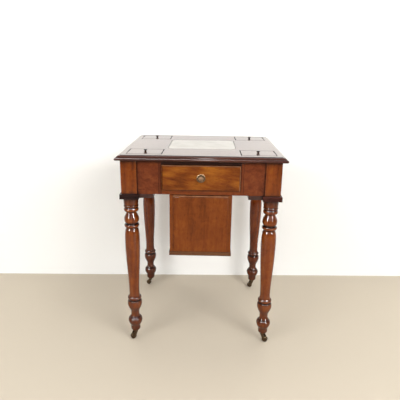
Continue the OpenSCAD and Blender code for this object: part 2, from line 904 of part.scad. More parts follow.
module caster_plates() {
    color(brass)
        at_corners()
            translate([leg_x, leg_y, plate_z])
                difference() {
                    union() {
                        cylinder(d = plate_d, h = plate_t);
                        cylinder(d = sleeve_d, h = plate_t + stem_len);
                    }
                    translate([0, 0, -1])
                        cylinder(r = stem_d / 2 + shaft_gap, h = plate_t + stem_len + 2);
                    screw_circle() {
                        translate([0, 0, -1])
                            cylinder(r = screw_r, h = plate_t + 2);
                        translate([0, 0, -1])
                            cylinder(r = screw_head_r, h = screw_head_h + 1);
                    }
                }
}

module caster_screws() {
    color(brass)
        at_corners()
            translate([leg_x, leg_y, plate_z])
                screw_circle() {
                    cylinder(r = screw_head_r, h = screw_head_h);
                    cylinder(r = screw_r, h = plate_t + screw_len);
                }
}

// Puts something drawn at the swivel, trailing along +X, into corner i
module at_caster(i) {
    translate([i % 2 == 0 ? -leg_x : leg_x, i < 2 ? -leg_y : leg_y, 0])
        rotate([0, 0, trail_angle[i]])
            children();
}

module caster_fork(i) {
    arm_y = wheel_w / 2 + arm_gap;
    crown_z = crown_top - crown_t;
    head_t = 1.2;
    color(brass)
        at_caster(i) {
            // Crown, stem and the two arms
            difference() {
                union() {
                    translate([0, 0, crown_z])
                        cylinder(r = crown_r, h = crown_t);
                    translate([0, 0, crown_z])
                        cylinder(d = stem_d, h = crown_t + stem_len);
                    for (side = [-1, 1])
                        translate([0, side * (arm_y + arm_t / 2), 0])
                            rotate([90, 0, 0])
                                linear_extrude(arm_t, center = true) {
                                    polygon([
                                        [-5, crown_top - 0.5], [-4.5, crown_z - 3],
                                        [trail - 6, wheel_r + 2], [trail - 5, wheel_r - 2],
                                        [trail + 5, wheel_r - 2], [trail + 6, wheel_r + 2],
                                        [6.5, crown_z - 1], [6, crown_top - 0.5]
                                    ]);
                                    translate([trail, wheel_r])
                                        circle(6.2);
                                }
                }
                translate([trail, 0, wheel_r])
                    rotate([90, 0, 0])
                        cylinder(r = axle_d / 2 + shaft_gap, h = wheel_w + 20, center = true);
            }
            // Axle, with a riveted head outside each arm
            translate([trail, 0, wheel_r])
                rotate([90, 0, 0]) {
                    cylinder(d = axle_d, h = 2 * (arm_y + arm_t + shaft_gap + head_t), center = true);
                    for (side = [-1, 1])
                        translate([0, 0, side * (arm_y + arm_t + shaft_gap + head_t / 2)])
                            cylinder(d = axle_d + 2.4, h = head_t, center = true);
                }
        }
}

module caster_wheel(i) {
    half = wheel_w / 2;
    bore = axle_d / 2 + shaft_gap;
    color(brass)
        at_caster(i)
            translate([trail, 0, wheel_r])
                rotate([90, 0, 0])
                    rotate_extrude()
                        polygon(concat(
                            [[bore, -half], [bore + 2.6, -half], [bore + 3.2, 0.9 - half],
                                [wheel_r - 4, 0.9 - half], [wheel_r - 3, -half]],
                            curve([wheel_r - 1.8, -half], [wheel_r - 0.6, -half],
                                [wheel_r, 1 - half], [wheel_r, 2.4 - half], 5),
                            curve([wheel_r, half - 2.4], [wheel_r, half - 1],
                                [wheel_r - 0.6, half], [wheel_r - 1.8, half], 5),
                            [[wheel_r - 3, half], [wheel_r - 4, half - 0.9],
                                [bore + 3.2, half - 0.9], [bore + 2.6, half], [bore, half]]
                        ));
}

top_panel();
edge_moulding_front();
edge_moulding_back();
edge_moulding_left();
edge_moulding_right();
centre_inset();
lid(-1, -1);  // lid_front_left
lid(1, -1);  // lid_front_right
lid(-1, 1);  // lid_back_left
lid(1, 1);  // lid_back_right
lid_knob(-1, -1);  // lid_knob_front_left
lid_knob(1, -1);  // lid_knob_front_right
lid_knob(-1, 1);  // lid_knob_back_left
lid_knob(1, 1);  // lid_knob_back_right
front_panel(-1);  // front_panel_left
front_panel(1);  // front_panel_right
drawer_rail_top();
drawer_rail_bottom();
frieze_back();
frieze_side(-1);  // frieze_left
frieze_side(1);  // frieze_right
leg(-1, -1);  // leg_front_left
leg(1, -1);  // leg_front_right
leg(-1, 1);  // leg_back_left
leg(1, 1);  // leg_back_right
collar(-1, -1);  // collar_front_left
collar(1, -1);  // collar_front_right
collar(-1, 1);  // collar_back_left
collar(1, 1);  // collar_back_right
partition(-1);  // partition_left
partition(1);  // partition_right
drawer_runners();
drawer_kickers();
compartment_floors();
compartment_dividers();
under_rails();
drawer_front();
drawer_side(-1);  // drawer_side_left
drawer_side(1);  // drawer_side_right
drawer_back();
drawer_bottom();
drawer_bead();
drawer_knob_plate();
drawer_knob();
well_front();
well_back();
well_side(-1);  // well_side_left
well_side(1);  // well_side_right
well_bottom();
well_runners();
caster_plates();
caster_screws();
caster_fork(0);  // caster_fork_front_left
caster_fork(1);  // caster_fork_front_right
caster_fork(2);  // caster_fork_back_left
caster_fork(3);  // caster_fork_back_right
caster_wheel(0);  // caster_wheel_front_left
caster_wheel(1);  // caster_wheel_front_right
caster_wheel(2);  // caster_wheel_back_left
caster_wheel(3);  // caster_wheel_back_right
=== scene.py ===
import json
import math

import bmesh
import bpy
from mathutils import Matrix, Vector

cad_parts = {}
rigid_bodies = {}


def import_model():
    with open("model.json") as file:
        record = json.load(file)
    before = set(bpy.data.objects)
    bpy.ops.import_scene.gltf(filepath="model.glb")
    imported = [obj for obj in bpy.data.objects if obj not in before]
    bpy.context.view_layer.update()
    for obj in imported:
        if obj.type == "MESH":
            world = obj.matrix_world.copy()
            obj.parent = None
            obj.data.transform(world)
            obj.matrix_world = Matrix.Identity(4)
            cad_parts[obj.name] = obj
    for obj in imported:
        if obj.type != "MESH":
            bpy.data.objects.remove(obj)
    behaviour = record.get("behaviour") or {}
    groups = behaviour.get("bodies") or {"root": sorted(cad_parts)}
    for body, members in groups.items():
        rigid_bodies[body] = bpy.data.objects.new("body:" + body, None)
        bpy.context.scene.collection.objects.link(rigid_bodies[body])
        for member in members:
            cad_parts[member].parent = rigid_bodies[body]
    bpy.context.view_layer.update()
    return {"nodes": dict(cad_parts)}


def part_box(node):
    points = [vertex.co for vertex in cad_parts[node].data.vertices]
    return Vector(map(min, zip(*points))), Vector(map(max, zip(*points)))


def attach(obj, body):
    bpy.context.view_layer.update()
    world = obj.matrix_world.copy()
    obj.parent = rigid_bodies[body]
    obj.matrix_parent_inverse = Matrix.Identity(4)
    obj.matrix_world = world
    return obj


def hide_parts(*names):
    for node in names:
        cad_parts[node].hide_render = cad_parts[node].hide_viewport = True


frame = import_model()


# The four legs are turned from squares of mahogany, with the head left square where the frieze
# boards are tenoned in. They are stained red-brown and French polished, and their grain runs up the
# leg. The polish is darkened in every quirk, as old dirt and as painted shade; painted shade also
# darkens the steep flanks of the turnings, a painted shadow the neck under each collar, and the
# colour grows darker towards the floor.
CORNERS = ("front_left", "front_right", "back_left", "back_right")
ROOT = "table"
MERGE = 2e-6
COPLANAR = math.radians(0.5)
SHARP = math.radians(38)
FLAT_AREA = 1.5e-4
HOLLOW_GAIN = 5.0


def bench_copy(node, arris, longer_than=0.006):
    """Copies a solid of the frame, with the sharp edges longer than longer_than rounded by arris
    metres. Its faces carry a mark that is 1 on those arrises, for the edge colour of wear, joints
    and painted light, and its corners carry hollow, which rises to 1 in a quirk."""
    made = bmesh.new()
    made.from_mesh(frame["nodes"][node].data)
    edge_wear_and_light = made.faces.layers.float.new("edge_wear_and_light")
    hollow = made.verts.layers.float.new("hollow")
    bmesh.ops.remove_doubles(made, verts=made.verts, dist=MERGE)
    bmesh.ops.dissolve_limit(
        made, angle_limit=COPLANAR, verts=made.verts, edges=made.edges
    )
    edges = [
        edge
        for edge in made.edges
        if edge.is_manifold
        and edge.calc_length() > longer_than
        and edge.calc_face_angle() > SHARP
    ]
    arrises = []
    if arris and edges:
        arrises = bmesh.ops.bevel(
            made, geom=edges, offset=arris, segments=3, profile=0.5,
            affect="EDGES", clamp_overlap=True,
        )["faces"]
    for face in made.faces:
        face.smooth = face.calc_area() < FLAT_AREA
    for face in arrises:
        face.smooth = True
        face[edge_wear_and_light] = 1.0
    for edge in made.edges:
        edge.smooth = not (edge.is_manifold and edge.calc_face_angle() > SHARP)
    made.normal_update()
    for point in made.verts:
        ways = [
            (edge.other_vert(point).co - point.co).normalized() for edge in point.link_edges
        ]
        rise = sum(point.normal.dot(way) for way in ways) / max(1, len(ways))
        point[hollow] = min(1.0, max(0.0, HOLLOW_GAIN * rise))
    mesh = bpy.data.meshes.new(node)
    made.to_mesh(mesh)
    made.free()
    return mesh


def piece(name, mesh, material, body, slot, *nodes):
    """Puts a finished mesh in the scene as a piece that rides on a body and stands for nodes."""
    thing = bpy.data.objects.new(name, mesh)
    bpy.context.scene.collection.objects.link(thing)
    mesh.materials.clear()
    mesh.materials.append(material)
    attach(thing, body)
    if nodes:
        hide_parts(*nodes)


def add(tree, kind, sockets=None, **settings):
    """Adds a shader or geometry node, sets its options, and fills or links its sockets."""
    made = tree.nodes.new(kind)
    for option, value in settings.items():
        setattr(made, option, value)
    for socket, value in (sockets or {}).items():
        if isinstance(value, bpy.types.NodeSocket):
            tree.links.new(value, made.inputs[socket])
        else:
            made.inputs[socket].default_value = value
    return made


def ramp(tree, factor, *stops):
    """Turns a factor into a colour or a grey level; each stop is a place and a colour."""
    made = add(tree, "ShaderNodeValToRGB", {"Fac": factor})
    points = made.color_ramp.elements
    while len(points) < len(stops):
        points.new(0.5)
    for point, (place, colour) in zip(points, stops):
        point.position = place
        level = (colour,) * 3 if isinstance(colour, (int, float)) else colour
        point.color = (*level, 1)
    return made.outputs["Color"]


def blend(tree, factor, first, second, how="MIX"):
    """Mixes two colours."""
    made = add(tree, "ShaderNodeMix", data_type="RGBA", blend_type=how)
    for index, value in ((0, factor), (6, first), (7, second)):
        if isinstance(value, bpy.types.NodeSocket):
            tree.links.new(value, made.inputs[index])
        elif index:
            made.inputs[index].default_value = (*value, 1)
        else:
            made.inputs[index].default_value = value
    return made.outputs[2]


def reckon(tree, how, *values):
    """One step of arithmetic on numbers or sockets."""
    return add(tree, "ShaderNodeMath", dict(enumerate(values)), operation=how).outputs[0]


def total(tree, first, second, scale):
    """first + second x scale."""
    return reckon(tree, "MULTIPLY_ADD", second, scale, first)


def share(tree, factor, scale):
    """factor x scale."""
    return reckon(tree, "MULTIPLY", factor, scale)


def mark(tree, name):
    """What a mesh's own attribute says at each point, as a factor."""
    return add(tree, "ShaderNodeAttribute", attribute_name=name).outputs["Fac"]


def bumps(tree, height, strength, depth):
    """A normal roughened by a height, depth metres deep."""
    return add(
        tree, "ShaderNodeBump", {"Height": height, "Strength": strength, "Distance": depth}
    ).outputs["Normal"]


def blank(name):
    """An empty material: returns it, its tree, a Principled shader and the Object coordinates."""
    material = bpy.data.materials.new(name)
    material.use_nodes = True
    tree = material.node_tree
    tree.nodes.clear()
    finish = add(tree, "ShaderNodeBsdfPrincipled")
    add(tree, "ShaderNodeOutputMaterial", {"Surface": finish.outputs["BSDF"]})
    place = add(tree, "ShaderNodeTexCoord").outputs["Object"]
    return material, tree, finish, place


# Near black: the colour of old wax and dirt, of painted shade in nooks and in the gaps round the
# lids, and of dark joints
SOOT_AND_SHADE = (0.012, 0.005, 0.003)
GRAIN_RUN = 9
NECK = 0.040
NECK_SHADE = ((0.0, 0), (0.2, 0.42), (0.6, 0.5), (1.0, 0.92))


def timber(name, grain, plank, tones, gloss, slant=0.0, figure=0.5, streak=0.3, mottle=0.16,
           relief=1.0, arris=SOOT_AND_SHADE, arris_share=0.6, pore=0.5, film=1.25, nook=0.010,
           nook_dark=0.9, nook_edge=0.88, own_nooks=True, darkened_below=0, steep_shade=0, collar_shadow_height=0):
    """Wood, bare or polished.

    grain is the axis along it, plank the board's place in the log in metres, tones its dark,
    middle and pale colours, and slant the angle of the grain to its axis in degrees.
    gloss is the roughness of its polish, or None for bare wood, and film is the polish's
    index of refraction. relief is how deep its surface rolls.
    figure, streak and mottle are the strength of the broad, the fine and the cloudy pattern,
    and pore is how dark the pores are.
    arris is the colour of its bevelled edges and arris_share how strongly they show it; it is a
    worn colour, a dark joint, a painted highlight or painted shade, as each wood is given. Dirt and
    painted shade as dark as nook_dark gather in nooks narrower than nook metres, and fade out at an
    openness of nook_edge. With own_nooks they are its own ones only, else also those that it makes
    with its neighbours. It grows darker towards the bottom, up to the height darkened_below.
    Painted shade makes its flanks as dark as steep_shade where they are steep, and a painted shadow
    darkens its neck below the height collar_shadow_height."""
    material, tree, finish, place = blank(name)
    run = [GRAIN_RUN if axis == grain else 1 for axis in "XYZ"]
    turn = [0 if axis == grain else math.radians(slant) for axis in "XYZ"]
    log = add(
        tree, "ShaderNodeMapping",
        {"Vector": place, "Location": plank, "Rotation": turn, "Scale": run},
        vector_type="TEXTURE",
    ).outputs["Vector"]

    def cloud(scale, detail, twist=0.0, source=log):
        return add(
            tree, "ShaderNodeTexNoise",
            {"Vector": source, "Scale": scale, "Detail": detail, "Distortion": twist},
        ).outputs["Fac"]

    broad = cloud(13, 3, 1.1)
    streaks = cloud(115, 4, 0.3)
    clouds = cloud(44, 3, 0.8, place)
    rings = add(
        tree, "ShaderNodeTexWave",
        {"Vector": log, "Scale": 15, "Distortion": 6, "Detail": 3, "Detail Scale": 1.5},
        wave_type="RINGS", rings_direction=grain,
    ).outputs["Fac"]
    # Every pattern swings about a half, so the start keeps the mean at the middle colour
    ring_share = 0.28 * figure
    start = 0.5 - 0.5 * (figure + ring_share + streak + mottle)
    tone = total(tree, start, broad, figure)
    tone = total(tree, tone, rings, ring_share)
    tone = total(tree, tone, clouds, mottle)
    tone = total(tree, tone, streaks, streak)
    colour = ramp(tree, tone, (0.24, tones[0]), (0.5, tones[1]), (0.76, tones[2]))
    # Slow change of tint across the board, as on old polish that the sun has reached unevenly
    slow = cloud(5, 2, 0.5, place)
    tint = ramp(tree, slow, (0.34, (0.84, 0.76, 0.70)), (0.62, (1.08, 1.07, 1.0)))
    colour = blend(tree, 0.6, colour, tint, "MULTIPLY")
    # Pores: short dark lines along the grain
    open_pore = ramp(tree, cloud(620, 2), (0.60, 0), (0.68, 1))
    pore_colour = [part * 0.3 for part in tones[0]]
    colour = blend(tree, share(tree, open_pore, pore), colour, pore_colour)
    if darkened_below:
        # Darker towards the bottom, fading out at the height given
        height = add(tree, "ShaderNodeSeparateXYZ", {"Vector": place}).outputs["Z"]
        low = ramp(tree, share(tree, height, 1 / darkened_below), (0.1, 0.85), (1, 0))
        colour = blend(tree, low, colour, tones[0])
    if collar_shadow_height:
        # Painted shadow of the collar on the neck of the turning right under it
        height = add(tree, "ShaderNodeSeparateXYZ", {"Vector": place}).outputs["Z"]
        upward = add(
            tree, "ShaderNodeMapRange",
            {"Value": height, "From Min": collar_shadow_height - NECK, "From Max": collar_shadow_height - 0.05 * NECK},
        ).outputs[0]
        under = reckon(tree, "LESS_THAN", height, collar_shadow_height)
        neck = share(tree, ramp(tree, upward, *NECK_SHADE), under)
        colour = blend(tree, neck, colour, tones[0])
    if steep_shade:
        # Painted shade: the flanks of the turning that face steeply up or down are darkened towards
        # the darkest tone
        facing = add(tree, "ShaderNodeNewGeometry").outputs["Normal"]
        rise = add(tree, "ShaderNodeSeparateXYZ", {"Vector": facing}).outputs["Z"]
        steep = ramp(tree, reckon(tree, "ABSOLUTE", rise), (0.15, 0), (0.65, steep_shade))
        colour = blend(tree, steep, colour, tones[0])
    # Old wax and dirt, and painted shade, darken the quirks and the nooks between parts. The
    # bevelled arrises take the arris colour: worn pale on the legs and oak, dark at the joints, a
    # painted highlight on the beads and painted shade in the gaps round the lids.
    closed_in = add(
        tree, "ShaderNodeAmbientOcclusion", {"Distance": nook}, samples=8, only_local=own_nooks
    ).outputs["AO"]
    grime_and_shade = ramp(tree, closed_in, (0.50, nook_dark), (nook_edge, 0))
    dirt_and_shade = reckon(tree, "MAXIMUM", share(tree, mark(tree, "hollow"), 0.92), grime_and_shade)
    colour = blend(tree, dirt_and_shade, colour, SOOT_AND_SHADE)
    patchy = ramp(tree, cloud(48, 3, 0, place), (0.36, arris_share * 0.45), (0.6, arris_share))
    colour = blend(tree, share(tree, mark(tree, "edge_wear_and_light"), patchy), colour, arris)
    tree.links.new(colour, finish.inputs["Base Color"])
    smooth, coarse, ridges = (0.42, 0.56, 0.16) if gloss else (0.6, 0.78, 0.6)
    rough = ramp(tree, streaks, (0.3, smooth), (0.7, coarse))
    tree.links.new(rough, finish.inputs["Roughness"])
    rolling = cloud(24, 2, 0, place)
    surface = total(tree, share(tree, open_pore, -0.3), rolling, 1.6)
    surface = total(tree, surface, streaks, ridges)
    tree.links.new(bumps(tree, surface, 0.5, 0.0003 * relief), finish.inputs["Normal"])
    if gloss:
        finish.inputs["Specular IOR Level"].default_value = 0.02
        finish.inputs["Coat Weight"].default_value = 1.0
        finish.inputs["Coat Roughness"].default_value = gloss
        finish.inputs["Coat IOR"].default_value = film
        # The polish fills the pores, so its own surface only rolls a little
        tree.links.new(bumps(tree, rolling, 0.5, 0.00012 * relief), finish.inputs["Coat Normal"])
    else:
        finish.inputs["Specular IOR Level"].default_value = 0.3
    return material


# The back legs get a darker copy of the leg colour, as painted shade under the table
LEG_TONES = ((0.060, 0.010, 0.001), (0.180, 0.038, 0.003), (0.29, 0.078, 0.008))
SHADED_BACK_TONES = ((0.048, 0.008, 0.001), (0.145, 0.027, 0.003), (0.23, 0.054, 0.008))
RUBBED_RED = (0.30, 0.10, 0.04)
DARKENED_HEIGHT = 0.25
collar_low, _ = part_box("collar_front_left")
# Painted shade on the steep flanks and in the nooks, and a painted shadow under the collars, darken
# the legs; they also grow darker towards the floor
leg_woods = [
    timber(
        end + " leg mahogany", "Z", (0.07, 0.05, 0.3), tones, 0.05, slant=1.5, arris=RUBBED_RED,
        arris_share=0.35, streak=0.22, mottle=0.3, relief=0.5, pore=0.35, film=1.36, nook=0.035,
        nook_dark=1.0, nook_edge=0.98, own_nooks=False, darkened_below=DARKENED_HEIGHT, steep_shade=0.85,
        collar_shadow_height=collar_low[2],
    )
    for end, tones in (("front", LEG_TONES), ("back", SHADED_BACK_TONES))
]
for corner in CORNERS:
    node, wood = "leg_" + corner, leg_woods[corner.startswith("back")]
    piece("turned_" + node, bench_copy(node, 0.0009), wood, ROOT, "mahogany", node)


# A dark stained collar of mahogany is mitred round the foot of each square head. It hides the
# shoulder where the turning begins and closes the corner of the frieze. The two on the right get a
# lighter brown copy of the colour as painted light, and the two on the left a darker one as painted
# shade.
LEFT_SHADED_TONES = ((0.006, 0.003, 0.003), (0.017, 0.007, 0.006), (0.038, 0.013, 0.009))
RIGHT_LIT_TONES = ((0.018, 0.005, 0.003), (0.056, 0.015, 0.010), (0.105, 0.030, 0.019))
collar_woods = [
    timber(state + " collar mahogany", "X", (0.1, 0.02, 0.04), tones, 0.22, figure=0.4, film=1.17)
    for state, tones in (("black", LEFT_SHADED_TONES), ("faded", RIGHT_LIT_TONES))
]
for corner in CORNERS:
    node, wood = "collar_" + corner, collar_woods[corner.endswith("right")]
    piece("stained_" + node, bench_copy(node, 0.0009), wood, ROOT, "mahogany_dark", node)


# Between the collars a flat rail of the same dark wood is planted under each side of the
# frieze. It is as thick as the collars are high, and it stops a little short of their faces.
RAIL_TONES = ((0.020, 0.009, 0.007), (0.050, 0.022, 0.017), (0.085, 0.038, 0.028))
rail_wood = timber(
    "under rail mahogany", "Y", (0.05, 0.1, 0.03), RAIL_TONES, 0.3, figure=0.4
)
piece(
    "stained_under_rails", bench_copy("under_rails", 0.0006), rail_wood, ROOT,
    "mahogany_dark", "under_rails",
)


# The frieze is made of boards between the leg heads, set back from them: one board at each side and
# at the back, and in front two short figured panels and a rail above and below the drawer. The
# boards beside the drawer come to the front as narrow stiles. The rail above the drawer is given
# darker tones, as painted shade under the moulding.
RED_TONES = ((0.060, 0.012, 0.003), (0.178, 0.040, 0.009), (0.29, 0.078, 0.016))
PANEL_TONES = ((0.046, 0.009, 0.003), (0.138, 0.031, 0.009), (0.22, 0.060, 0.017))
EDGE_TONES = ((0.014, 0.004, 0.003), (0.050, 0.013, 0.008), (0.090, 0.026, 0.014))
frieze_wood = timber(
    "frieze mahogany", "X", (0.4, 0.06, 0.11), RED_TONES, 0.13, slant=1, nook=0.03,
    own_nooks=False,
)
side_wood = timber(
    "side frieze mahogany", "Y", (0.09, 0.7, 0.16), RED_TONES, 0.13, slant=1, nook=0.03,
    own_nooks=False,
)
panel_wood = timber(
    "front panel mahogany", "X", (0.9, -0.07, 0.14), PANEL_TONES, 0.13, slant=14, figure=0.1,
    streak=0.06, mottle=0.55, nook=0.02, own_nooks=False,
)
stile_wood = timber(
    "stile mahogany", "Z", (0.02, 0.3, 0.2), PANEL_TONES, 0.16, nook=0.02, own_nooks=False,
)
# Darker tones for the rail above the drawer: painted shade under the moulding
shaded_wood = timber(
    "shaded rail mahogany", "X", (0.2, 0.03, 0.1), EDGE_TONES, 0.16, nook=0.03, own_nooks=False,
)
for node, wood in (
    ("front_panel_left", panel_wood), ("front_panel_right", panel_wood),
    ("partition_left", stile_wood), ("partition_right", stile_wood),
    ("drawer_rail_top", shaded_wood), ("drawer_rail_bottom", frieze_wood),
    ("frieze_back", frieze_wood), ("frieze_left", side_wood), ("frieze_right", side_wood),
):
    piece("polished_" + node, bench_copy(node, 0.0006), wood, ROOT, "mahogany", node)


# Inside the frieze the timber is plain oak, planed and left bare: the drawer's runners
# and kickers, and the floors and ends of the corner compartments. Three-cornered blocks
# are rubbed in with glue under each compartment floor.
OAK_TONES = ((0.17, 0.095, 0.045), (0.34, 0.215, 0.115), (0.48, 0.33, 0.19))
OAK_EDGE = (0.40, 0.27, 0.15)
oak = timber(
    "bare oak", "Y", (0.2, 0.1, 0.09), OAK_TONES, None, slant=1, pore=0.7, arris=OAK_EDGE,
)
for node in ("drawer_runners", "drawer_kickers", "compartment_floors", "compartment_dividers"):
    piece("planed_" + node, bench_copy(node, 0.0005), oak, ROOT, "oak", node)


def start_tree(name, **sizes):
    """A Geometry Nodes tree with a named input for each size; returns it and its inputs."""
    tree = bpy.data.node_groups.new(name, "GeometryNodeTree")
    tree.interface.new_socket("Geometry", in_out="OUTPUT", socket_type="NodeSocketGeometry")
    for label, value in sizes.items():
        kind = {int: "NodeSocketInt", float: "NodeSocketFloat"}.get(type(value), "NodeSocketVector")
        tree.interface.new_socket(label, in_out="INPUT", socket_type=kind)
    return tree, tree.nodes.new("NodeGroupInput").outputs


def grow(name, tree, shape, material, **sizes):
    """Ends a tree with shape and returns what it makes, as a plain mesh, for the sizes given."""
    if not any(node.type == "GROUP_OUTPUT" for node in tree.nodes):
        solid = add(tree, "GeometryNodeRealizeInstances", {"Geometry": shape}).outputs[0]
        faced = add(tree, "GeometryNodeSetMaterial", {"Geometry": solid, "Material": material})
        tree.links.new(faced.outputs[0], tree.nodes.new("NodeGroupOutput").inputs[0])
    carrier = bpy.data.objects.new(name, bpy.data.meshes.new(name))
    bpy.context.scene.collection.objects.link(carrier)
    modifier = carrier.modifiers.new(name, "NODES")
    modifier.node_group = tree
    for item in tree.interface.items_tree:
        if item.in_out == "INPUT":
            modifier[item.identifier] = sizes[item.name]
    graph = bpy.context.evaluated_depsgraph_get()
    mesh = bpy.data.meshes.new_from_object(carrier.evaluated_get(graph))
    carrier.modifiers.clear()
    bpy.data.objects.remove(carrier)
    return mesh


block_sizes = {"count": 5, "pitch": 0.0, "leg": 0.009, "length": 0.042, "seed": 4}
blocks, size = start_tree("row of glue blocks", **block_sizes)
step = add(blocks, "ShaderNodeCombineXYZ", {"Y": size["pitch"]}).outputs[0]
row = add(blocks, "GeometryNodeMeshLine", {"Count": size["count"], "Offset": step}).outputs[0]
prism = add(
    blocks, "GeometryNodeMeshCylinder",
    {"Vertices": 3, "Radius": size["leg"], "Depth": size["length"]},
).outputs["Mesh"]
laid = add(
    blocks, "GeometryNodeTransform",
    {"Geometry": prism, "Rotation": (math.radians(90), math.radians(-15), 0)},
).outputs[0]
skew = add(
    blocks, "FunctionNodeRandomValue",
    {0: (-0.03, -0.02, -0.03), 1: (0.03, 0.02, 0.03), "Seed": size["seed"]},
    data_type="FLOAT_VECTOR",
).outputs[0]
cut = add(
    blocks, "GeometryNodeInstanceOnPoints",
    {"Points": row, "Instance": laid, "Rotation": skew},
).outputs[0]
low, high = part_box("compartment_floors")
pitch = (high[1] - low[1]) / (block_sizes["count"] + 1)
block_inset = 0.0062
for side, sign in (("left", -1), ("right", 1)):
    mesh = grow("blocks", blocks, cut, oak, **{**block_sizes, "pitch": pitch})
    mesh.transform(Matrix.Diagonal((sign, 1, 1, 1)))
    mesh.transform(Matrix.Translation(
        (sign * (high[0] - block_inset), low[1] + pitch, low[2] - block_inset)
    ))
    if sign < 0:
        mesh.flip_normals()
    piece("glue_blocks_" + side, mesh, oak, ROOT, "oak")


# The top is one wide panel with a moulded edge planted round it in four mitred strips:
# a small step, an ovolo and a full round nose. Its grain runs across the front, and its
# polish is the best on the table.
TOP_TONES = ((0.042, 0.012, 0.005), (0.089, 0.030, 0.012), (0.126, 0.048, 0.021))
# Its bevelled arrises, round its edge and the openings for the lids and the inset, are painted near
# black: dark joints, and painted shade in the gaps
top_wood = timber(
    "top mahogany", "X", (0.6, 0.03, -0.05), TOP_TONES, 0.05, slant=1, streak=0.2, relief=0.16,
    arris_share=1.8, film=1.8,
)
moulding_wood = timber(
    "moulding mahogany", "X", (0.1, 0.09, 0.02), EDGE_TONES, 0.09, relief=0.6, film=1.4
)
side_moulding_wood = timber(
    "side moulding mahogany", "Y", (0.09, 0.2, 0.02), EDGE_TONES, 0.09, relief=0.6, film=1.4
)
piece("jointed_top", bench_copy("top_panel", 0.0016), top_wood, ROOT, "mahogany", "top_panel")
for side, wood in (
    ("front", moulding_wood), ("back", moulding_wood),
    ("left", side_moulding_wood), ("right", side_moulding_wood),
):
    node = "edge_moulding_" + side
    piece("run_" + node, bench_copy(node, 0.0003), wood, ROOT, "mahogany", node)


# A pale leather panel with clipped corners is let into the middle of the top. It is glued to a thin
# board, smooth from use, and darkened along its bevelled edge, as dirt and as painted shade in the
# joint round it.
def cream_leather():
    """Finely grained leather under old wax, paler where it is least used."""
    material, tree, finish, place = blank("cream leather")
    pebble = add(
        tree, "ShaderNodeTexVoronoi", {"Vector": place, "Scale": 700}, feature="SMOOTH_F1"
    ).outputs["Distance"]
    stain = add(
        tree, "ShaderNodeTexNoise", {"Vector": place, "Scale": 14, "Detail": 5}
    ).outputs["Fac"]
    colour = ramp(
        tree, stain, (0.30, (0.295, 0.270, 0.225)), (0.52, (0.350, 0.327, 0.28)),
        (0.74, (0.375, 0.356, 0.31)),
    )
    # Dirt and painted shade of the joint darken the bevelled edge
    colour = blend(tree, share(tree, mark(tree, "edge_wear_and_light"), 0.8), colour, (0.12, 0.085, 0.05))
    tree.links.new(colour, finish.inputs["Base Color"])
    finish.inputs["Roughness"].default_value = 0.42
    finish.inputs["Specular IOR Level"].default_value = 0.3
    finish.inputs["Coat Weight"].default_value = 0.68
    finish.inputs["Coat Roughness"].default_value = 0.14
    tree.links.new(bumps(tree, pebble, 0.2, 0.00015), finish.inputs["Normal"])
    return material


piece(
    "leather_panel", bench_copy("centre_inset", 0.0008), cream_leather(), ROOT,
    "inset_leather", "centre_inset",
)


# Each corner compartment has a loose lid that lies in a rebate with a dark gap all round,
# with a small turned knob of blackened wood pegged through it.
# The lids' bevelled arrises are painted near black, as painted shade in the gap round each lid
lid_wood = timber(
    "lid mahogany", "X", (0.3, 0.12, -0.02), TOP_TONES, 0.05, slant=1, streak=0.2, relief=0.16,
    arris_share=1.8, film=1.8,
)
EBONY_TONES = ((0.005, 0.003, 0.003), (0.010, 0.006, 0.005), (0.018, 0.011, 0.008))
ebony = timber("ebonised wood", "Z", (0.01, 0.02, 0.03), EBONY_TONES, 0.16, relief=0.4)
for corner in CORNERS:
    lid, knob = "lid_" + corner, "lid_knob_" + corner
    piece("loose_" + lid, bench_copy(lid, 0.0016), lid_wood, lid, "mahogany", lid)
    piece("turned_" + knob, bench_copy(knob, 0), ebony, lid, "ebony", knob)


# The drawer is dovetailed: sides lapped into a golden veneered front with a thin bead
# round it, the back through-dovetailed, and a thin bottom in grooves, pinned up to the
# back with a row of brads.
GOLD_TONES = ((0.069, 0.014, 0.002), (0.190, 0.048, 0.005), (0.30, 0.098, 0.010))
drawer_wood = timber(
    "drawer front veneer", "X", (0.2, 0.09, 0.66), GOLD_TONES, 0.14, slant=9, figure=0.75,
    streak=0.45,
)
# A pale edge colour, a painted highlight on the beads of the drawer and the well
HIGHLIGHT_ARRIS = (0.36, 0.17, 0.085)
bead_wood = timber("bead mahogany", "X", (0.1, 0.04, 0.36), GOLD_TONES, 0.14, arris=HIGHLIGHT_ARRIS)
piece(
    "veneered_front", bench_copy("drawer_front", 0.0004), drawer_wood, "drawer",
    "mahogany_gold", "drawer_front",
)


def mark_faces(mesh, where):
    """Marks the faces whose centre passes a test, and no others, to take the edge colour."""
    for face in mesh.polygons:
        mesh.attributes["edge_wear_and_light"].data[face.index].value = float(where(face.center))
    return mesh


# The top and the right-hand run of the bead take a pale edge colour, painted as the highlight where
# light falls on them
BEAD_WIDTH = 0.003
_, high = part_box("drawer_bead")
bead = mark_faces(
    bench_copy("drawer_bead", 0.0002),
    lambda at: at.z > high[2] - BEAD_WIDTH or at.x > high[0] - BEAD_WIDTH,
)
piece("cock_bead", bead, bead_wood, "drawer", "mahogany_gold", "drawer_bead")
for node in ("drawer_side_left", "drawer_side_right", "drawer_back", "drawer_bottom"):
    piece("planed_" + node, bench_copy(node, 0.0003), oak, "drawer", "oak", node)


